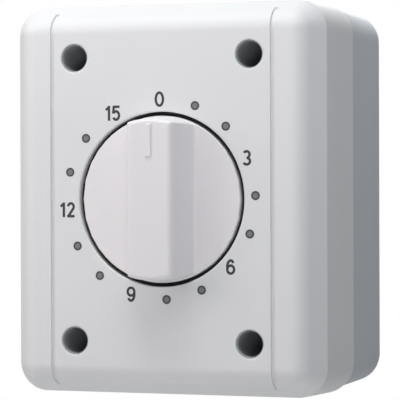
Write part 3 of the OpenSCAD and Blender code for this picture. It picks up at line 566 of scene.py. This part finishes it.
def gripHalf(h):
    # half width of the bar at height h: hollow foot, straight flank, round top edge
    r = knob["footR"]
    dip = np.clip((r - h) / r, -1, 1)
    foot = flankHalf(r) + r / math.cos(flankLean) - r * np.sqrt(1 - dip ** 2)
    return np.where(dip > math.sin(flankLean), foot, roundTop(h, flankHalf, flankLean, knob["topR"]))


def gripEnd(h):
    # radius of the bar's ends at height h: cone with a round top edge
    return roundTop(h, endCone, endLean, knob["endTopR"])


def shares(count):
    # even steps from 0 up to, but not at, 1
    return np.linspace(0, 1, count, endpoint=False)[None]


def barOutline(half, end, corner):
    # outline of a strip cut by a circle, one row for each height: flank, round corner, end arc,
    # round corner, then the same turned half round
    half, end, r = half[:, None], end[:, None], corner[:, None]
    cx = half - r
    cy = np.sqrt((end - r) ** 2 - cx ** 2)
    touch = np.arctan2(cy, cx)
    flankY = -cy + 2 * cy * shares(knob["flankCols"])
    first = touch * shares(knob["cornerCols"])
    arc = touch + (np.pi - 2 * touch) * shares(knob["endCols"])
    last = np.pi - touch + touch * shares(knob["cornerCols"])
    x = [half + 0 * flankY, cx + r * np.cos(first), end * np.cos(arc), -cx + r * np.cos(last)]
    y = [flankY, cy + r * np.sin(first), end * np.sin(arc), cy + r * np.sin(last)]
    x, y = np.concatenate(x, axis=1), np.concatenate(y, axis=1)
    return np.concatenate([x, -x], axis=1), np.concatenate([y, -y], axis=1)


def gripRows():
    # rows of the bar above the disc: x, y and z by height and place round the outline
    k = knob
    foot = k["footR"] * (1 - np.cos(np.linspace(0, np.pi / 2, k["footRows"])))
    flank = np.linspace(k["footR"], k["gripH"] - k["topR"], k["flankRows"])
    crown = k["gripH"] - k["topR"] + k["topR"] * np.sin(np.linspace(endLean, np.pi / 2, k["crownRows"]))
    h = np.concatenate([foot, flank[1:], crown[1:]])
    corner = k["cornerR"] + (k["cornerTopR"] - k["cornerR"]) * h / k["gripH"]
    x, y = barOutline(gripHalf(h), gripEnd(h), corner)
    return np.stack([x, y, discTop + h[:, None] + 0 * x], axis=-1)


def discRows(turn):
    # rows of the disc at the angles of the bar's foot: bore, hub, hollow, skirt, rim and flat top
    k = knob
    skirtIn, under = k["discR"] - k["skirtT"], discTop - k["discT"]
    profile = softLine([
        (0, k["boreTop"], 0), (k["boreR"], k["boreTop"], 0), (k["boreR"], knobLow[2], 0),
        (k["hubR"], knobLow[2], k["hubFootR"]), (k["hubR"], under, k["hollowR"]),
        (skirtIn, under, k["hollowR"]), (skirtIn, k["skirtZ"], k["skirtInR"]),
        (k["discR"], k["skirtZ"], k["skirtOutR"]),
        (k["discR"], discTop - k["endSunk"], 0), (k["discR"], discTop, k["rimR"]),
        (k["discR"] - k["rimR"] - k["rimFlat"], discTop, 0),
    ], k["underSteps"])
    r, z = profile[:, :1], profile[:, 1:]
    x, y = r * np.cos(turn), r * np.sin(turn)
    # where the bar's end stands further out than the rim, the rim follows the bar
    rimH = np.minimum(profile[:, 1] - discTop, 0)
    endX, endY = barOutline(gripHalf(0 * rimH), gripEnd(rimH), k["cornerR"] + 0 * rimH)
    atRim = (z > discTop - k["endSunk"]) & (r > skirtIn)
    stands = (np.hypot(endX, endY) > r) & atRim
    return np.stack([np.where(stands, endX, x), np.where(stands, endY, y), z + 0 * x], axis=-1)


# Pointer ridge on the bar's flat top
pointer = {
    "x": -0.1, "half": 0.52, "length": 6.4, "top": 14.9, "height": 0.28,
    "edgeR": 0.12, "footOut": 0.08, "cornerR": 0.15, "cornerShare": 0.6, "arcCols": 6, "edgeRows": 5,
}


def pointerLoop(halfW, halfL):
    # rounded rectangle round the ridge's middle, with an arc at each corner
    g = pointer
    r = min(g["cornerR"], halfW * g["cornerShare"])
    turns = np.concatenate([np.linspace(0, np.pi / 2, g["arcCols"]) + q * np.pi / 2 for q in range(4)])
    sx = np.repeat([1, -1, -1, 1], g["arcCols"]) * (halfW - r)
    sy = np.repeat([1, 1, -1, -1], g["arcCols"]) * (halfL - r)
    mid = g["top"] - g["length"] / 2
    return np.stack([g["x"] + sx + r * np.cos(turns), mid + sy + r * np.sin(turns)], axis=1)


def pointerRows():
    # the loop drawn in and lifted along a quarter round: P(s, row)
    g = pointer
    b = np.linspace(0, np.pi / 2, g["edgeRows"])
    inset = np.concatenate([[-g["footOut"]], g["edgeR"] * (1 - np.cos(b))])
    rise = np.concatenate([[0], g["height"] - g["edgeR"] + g["edgeR"] * np.sin(b)])
    loops = np.stack([pointerLoop(g["half"] - i, g["length"] / 2 - i) for i in inset])
    return np.concatenate([loops, gripTop + rise[:, None, None] + 0 * loops[..., :1]], axis=-1)


def knobSurfaces():
    # disc and bar as one grid, the bar's flat top with the ridge's foot cut out, and the ridge
    bar = gripRows()
    turn = np.arctan2(bar[:1, :, 1], bar[:1, :, 0])
    points = np.concatenate([discRows(turn), bar])
    ridge = pointerRows()
    return [
        (points.reshape(-1, 3), gridFaces(*points.shape[:2])),
        flatPanel(bar[-1, :, :2], [ridge[0, :, :2]], gripTop),
        (ridge.reshape(-1, 3), gridFaces(*ridge.shape[:2])),
        flatPanel(ridge[-1, :, :2], [], gripTop + pointer["height"]),
    ]


makePiece("knob_grip", knobSurfaces(), knobPlastic, "dial", ["knob"])

# Ring that lines the well: dark rubber with a rounded lip below the front; its near-black tone, darker than
# the seal rubber, is partly painted shade for the deep gap round the knob
wellRing = {"innerR": 16.9, "outerR": 17.3, "footZ": 41.0, "topZ": 46.9, "lipRows": 13}


def ringSurface():
    # closed profile turned about the knob's axis; the lip is a half round across the ring's thickness
    g = wellRing
    lip = (g["outerR"] - g["innerR"]) / 2
    a = np.linspace(0, np.pi, g["lipRows"])
    crest = np.stack([g["innerR"] + lip - lip * np.cos(a), g["topZ"] - lip + lip * np.sin(a)], axis=1)
    foot = np.array([(g["outerR"], g["footZ"]), (g["innerR"], g["footZ"])])
    return lathe(np.concatenate([foot[1:], crest, foot]), (0, 0), meshing["wellAround"])


makePiece("knob_well_ring", [ringSurface()], ringRubberAndGapShade, "housing", ["knob_ring"])

# Sleeves: rubber tubes that line the screw towers, each with a thin nose up the opening
sleeve = {"boreR": 2.62, "noseR": 2.82, "noseTop": 0.35, "bodyR": 4.02, "endR": 0.1}
sleeveLow, sleeveHigh = drawnBox("sealing_sleeves")


def sleeveSurfaces():
    # closed tube profile, from half way up the bore, turned about each screw's axis
    g = sleeve
    low, step, top = sleeveLow[2], sleeveHigh[2], frontZ - g["noseTop"]
    middle = (g["boreR"], (low + top) / 2, 0)
    profile = softLine([
        middle, (g["boreR"], top, g["endR"]), (g["noseR"], top, g["endR"]), (g["noseR"], step, 0),
        (g["bodyR"], step, 0), (g["bodyR"], low, 0), (g["boreR"], low, 0), middle,
    ])
    return [lathe(profile, s, meshing["towerAround"]) for s in screwPlaces]


makePiece("screw_sleeves", sleeveSurfaces(), sleeveRubber, "housing", ["sealing_sleeves"])

# Dial print: figures every three minutes and dots between, counted clockwise from the top
dial = {
    "minutes": 15, "figureEvery": 3, "sweep": 330, "printX": -0.18, "figureR": 20.05, "dotR": 20.1,
    "inkT": 0.02, "inkSunk": 0.01, "dotHalf": 0.91, "dotInk": [(0, 0), (0.5, 0.1), (0.64, 0.8)],
    "halfH": 1.3, "stroke": 0.52, "overrun": 0.2, "digitGap": 0.4,
    "halfW": {"0": 0.76, "1": 0.28, "2": 0.62, "3": 0.66, "5": 0.62, "6": 0.71, "9": 0.71},
}
inkTop, inkFoot = frontZ + dial["inkT"], frontZ - dial["inkSunk"]


def ellipse(cx, cy, rx, ry, a0, a1, n=28):
    # arc of an ellipse from angle a0 to a1, in degrees
    a = np.radians(np.linspace(a0, a1, n))
    return np.stack([cx + rx * np.cos(a), cy + ry * np.sin(a)], axis=1)


def digitStrokes(digit):
    # centre lines of a plain narrow figure; a stroke that ends where it starts is a closed loop
    w, h, over = dial["halfW"][digit], dial["halfH"], dial["overrun"]
    bowl = ellipse(0, h * -0.39, w, h * 0.61, 0, 360, 49)
    hook = ellipse(0, 0, w, h, 195, 38)
    shapes = {
        "0": [ellipse(0, 0, w, h, 0, 360, 57)],
        "1": [
            np.array([(w, -h - over), (w, h + over)]),
            np.array([(w + 0.02, h - 0.05), (-w - 0.14, h - 0.62)]),
        ],
        "2": [
            np.concatenate([ellipse(0, h - 0.68, w, 0.68, 172, -32), [(-w + 0.06, -h)]]),
            np.array([(-w - over, -h), (w + over, -h)]),
        ],
        "3": [
            ellipse(-0.04, h * 0.5, w - 0.06, h * 0.5, 150, -90),
            ellipse(-0.04, h * -0.5, w + 0.04, h * 0.5, 90, -152),
        ],
        "5": [
            np.array([(w + 0.12, h), (-w + 0.1, h)]),
            np.array([(-w + 0.14, h + over), (-w - 0.02, -0.06)]),
            ellipse(-0.02, -h + 0.84, w + 0.02, 0.84, 148, -152),
        ],
        "6": [bowl, hook],
        "9": [-bowl, -hook],
    }
    return shapes[digit]


def strokeLoops(line):
    # both edges of a centre line, half a stroke to each side of it
    slope = np.gradient(line, axis=0)
    side = np.stack([-slope[:, 1], slope[:, 0]], axis=1)
    side *= dial["stroke"] / 2 / np.linalg.norm(side, axis=1, keepdims=True)
    if np.allclose(line[0], line[-1]):
        side[0] = side[-1] = (side[0] + side[-1]) / 2
        return [(line + side)[:-1], (line - side)[:-1]]
    return [np.concatenate([line + side, (line - side)[::-1]])]


def inkSurfaces(strokes):
    # union of the strokes as one thin raised film: filled top, filled foot and the wall between them
    p, f = fillLoops([l for loops in strokes for l in loops])
    mid = p[f].mean(axis=1)
    inStroke = [np.sum([inside(mid, l) for l in loops], axis=0) % 2 == 1 for loops in strokes]
    f = f[np.any(inStroke, axis=0)]
    sides = np.concatenate([f[:, [0, 1]], f[:, [1, 2]], f[:, [2, 0]]])
    _, first, count = np.unique(np.sort(sides, axis=1), axis=0, return_index=True, return_counts=True)
    rim = sides[first[count == 1]]
    top = np.column_stack([p, np.full(len(p), inkTop)])
    foot = np.column_stack([p, np.full(len(p), inkFoot)])
    wall = np.column_stack([rim, rim[:, ::-1] + len(p)])
    return [(top, f), (foot, f[:, ::-1]), (np.concatenate([top, foot]), wall)]


def minutePlace(minute, radius):
    # point on the dial's circle, turned clockwise from the top by the minute's share of the sweep
    a = math.radians(90 - dial["sweep"] * minute / dial["minutes"])
    return np.array([dial["printX"] + radius * math.cos(a), radius * math.sin(a)])


def figureSurfaces(minute):
    # digits set side by side about the minute's place, each as wide as its strokes
    digits = str(minute)
    widths = np.array([2 * dial["halfW"][d] + dial["stroke"] for d in digits])
    starts = np.cumsum(np.append(0, widths + dial["digitGap"]))
    middles = starts[:-1] + widths / 2 - (starts[-1] - dial["digitGap"]) / 2
    surfaces = []
    for digit, x in zip(digits, middles):
        shift = minutePlace(minute, dial["figureR"]) + np.array([x, 0])
        surfaces += inkSurfaces([[l + shift for l in strokeLoops(s)] for s in digitStrokes(digit)])
    return surfaces


def dotSurface(minute):
    # turned film with a ring of points at each change of the ink's tone
    radii = [r for r, depth in dial["dotInk"]] + [dial["dotHalf"]]
    profile = np.array([(r, inkTop) for r in radii] + [(dial["dotHalf"], inkFoot), (0, inkFoot)])
    return lathe(profile, minutePlace(minute, dial["dotR"]), meshing["dotAround"])


figures, dots = [], []
for minute in range(dial["minutes"] + 1):
    if minute % dial["figureEvery"]:
        dots.append(dotSurface(minute))
    else:
        figures += figureSurfaces(minute)
figureEdge = np.ones(sum(len(p) for p, f in figures))
dotEdge = np.repeat([depth for r, depth in dial["dotInk"]] + [1, 1, 1], meshing["dotAround"])
makePiece("dial_figures", figures, dialInk, "housing", inkEdge=figureEdge)
makePiece("dial_dots", dots, dialInk, "housing", inkEdge=np.tile(dotEdge, len(dots)))

# Camera at the photograph's place: turns in degrees, distance and aim in mm
camera = {
    "yaw": 18.90, "pitch": 0.25, "roll": -0.18, "distance": 412.04, "lens": 186.55, "sensor": 36,
    "aim": (8.37, -48.06, -0.15), "clip": (0.01, 20),
}
yaw, pitch, roll = (math.radians(camera[k]) for k in ("yaw", "pitch", "roll"))
back = Vector((math.sin(yaw) * math.cos(pitch), -math.cos(yaw) * math.cos(pitch), math.sin(pitch)))
across = Vector((math.cos(yaw), math.sin(yaw), 0))
upward = back.cross(across)
cameraRight = across * math.cos(roll) + upward * math.sin(roll)
cameraUp = upward * math.cos(roll) - across * math.sin(roll)
view = bpy.data.cameras.new("photo_view")
view.lens = camera["lens"]
view.sensor_width = camera["sensor"]
view.sensor_fit = "HORIZONTAL"
view.clip_start, view.clip_end = camera["clip"]
viewer = bpy.data.objects.new("photo_view", view)
viewer.matrix_world = (
    Matrix.Translation(Vector(camera["aim"]) * mm + back * camera["distance"] * mm)
    @ Matrix((cameraRight, cameraUp, back)).transposed().to_4x4()
)
bpy.context.scene.collection.objects.link(viewer)
bpy.context.scene.camera = viewer

# Soft studio light: (place in m, aim, size in m, power in W, colour)
lamps = {
    "top_softbox": ((-0.03, -0.14, 0.4), (0, -0.03, 0), 0.2, 1.03, "#fafeff"),
    "top_left_softbox": ((-0.16, -0.2, 0.22), (0, -0.03, 0), 0.15, 0.18, "#fffbfb"),
    "top_right_softbox": ((0.1, -0.17, 0.25), (0, -0.03, 0), 0.15, 0.21, "#fafbff"),
    "left_softbox": ((-0.26, -0.2, 0.1), (0, -0.03, 0), 0.15, 0.3, "#fffbfd"),
    "front_softbox": ((0.305, -0.969, -0.156), (0, -0.03, 0), 0.35, 3.15, "#fbfbff"),
    "right_softbox": ((0.954, -0.286, -0.156), (0, -0.03, 0), 0.35, 1.1, "#e6f0ff"),
    "back_softbox": ((-0.1, 1.0, 0.2), (0, 0, 0), 0.5, 3.0, "#ffffff"),
}
for name, (place, aim, size, power, colour) in lamps.items():
    light = bpy.data.lights.new(name, "AREA")
    light.shape = "DISK"
    light.size = size
    light.energy = power
    light.color = linear(colour)[:3]
    lamp = bpy.data.objects.new(name, light)
    lamp.location = place
    lamp.rotation_euler = (Vector(aim) - Vector(place)).to_track_quat("-Z", "Y").to_euler()
    bpy.context.scene.collection.objects.link(lamp)

# World: plain white where the camera, a gloss or a clear surface looks at it, and no light of its own
world = bpy.data.worlds.new("white_studio")
bpy.context.scene.world = world
world.use_nodes = True
sky = world.node_tree
sky.nodes.clear()
ray = addNode(sky, "ShaderNodeLightPath")
seen = addNode(
    sky, "ShaderNodeMath", {"operation": "MAXIMUM"},
    {0: ray.outputs["Is Camera Ray"], 1: ray.outputs["Is Transmission Ray"]},
)
seenOrGloss = addNode(
    sky, "ShaderNodeMath", {"operation": "MAXIMUM"}, {0: seen.outputs[0], 1: ray.outputs["Is Glossy Ray"]},
)
white = addNode(
    sky, "ShaderNodeBackground", {"Color": linear("#ffffff")}, {"Strength": seenOrGloss.outputs[0]},
)
addNode(sky, "ShaderNodeOutputWorld", links={"Surface": white.outputs[0]})

# Floor: a pale round sheet below the part, lifted to white for the camera, which keeps the soft shadow
floor = {"drop": 60, "radius": 440, "lift": 0.72, "colour": "#ececec", "pale": "#f0f0f0", "mottleMm": 40}


def paleSheet(name, look):
    # Coated paper: matt and even, with a barely seen mottle
    material, tree, place = startMaterial(name)
    mottle = addNode(
        tree, "ShaderNodeTexNoise", {"Scale": perMetre(look["mottleMm"]), "Detail": 2.0}, {"Vector": place},
    )
    tone = addNode(
        tree, "ShaderNodeMix", {"data_type": "RGBA", 6: linear(look["colour"]), 7: linear(look["pale"])},
        {0: mottle.outputs["Fac"]},
    )
    paper = addNode(tree, "ShaderNodeBsdfDiffuse", links={"Color": tone.outputs[2]})
    path = addNode(tree, "ShaderNodeLightPath")
    lift = addNode(
        tree, "ShaderNodeMath", {"operation": "MULTIPLY", 1: look["lift"]},
        {0: path.outputs["Is Camera Ray"]},
    )
    glow = addNode(tree, "ShaderNodeEmission", links={"Strength": lift.outputs[0]})
    both = addNode(tree, "ShaderNodeAddShader", links={0: paper.outputs[0], 1: glow.outputs[0]})
    return endMaterial(material, tree, both)


floorZ = cadBox[0][2] / mm - floor["drop"]
sheetProfile = np.array([(0, floorZ), (floor["radius"], floorZ)], float)
sheetPoints, sheetFaces = lathe(sheetProfile, (0, 0), meshing["floorAround"])
sheetMesh = bpy.data.meshes.new("pale_floor")
sheetMesh.from_pydata((sheetPoints * mm).tolist(), [], sheetFaces.tolist())
sheetMesh.validate()
sheetMesh.materials.append(paleSheet("coated_paper_floor", floor))
sheet = bpy.data.objects.new("pale_floor", sheetMesh)
bpy.context.scene.collection.objects.link(sheet)
print("camera, light and floor set")

bpy.context.scene.view_settings.view_transform = "Standard"
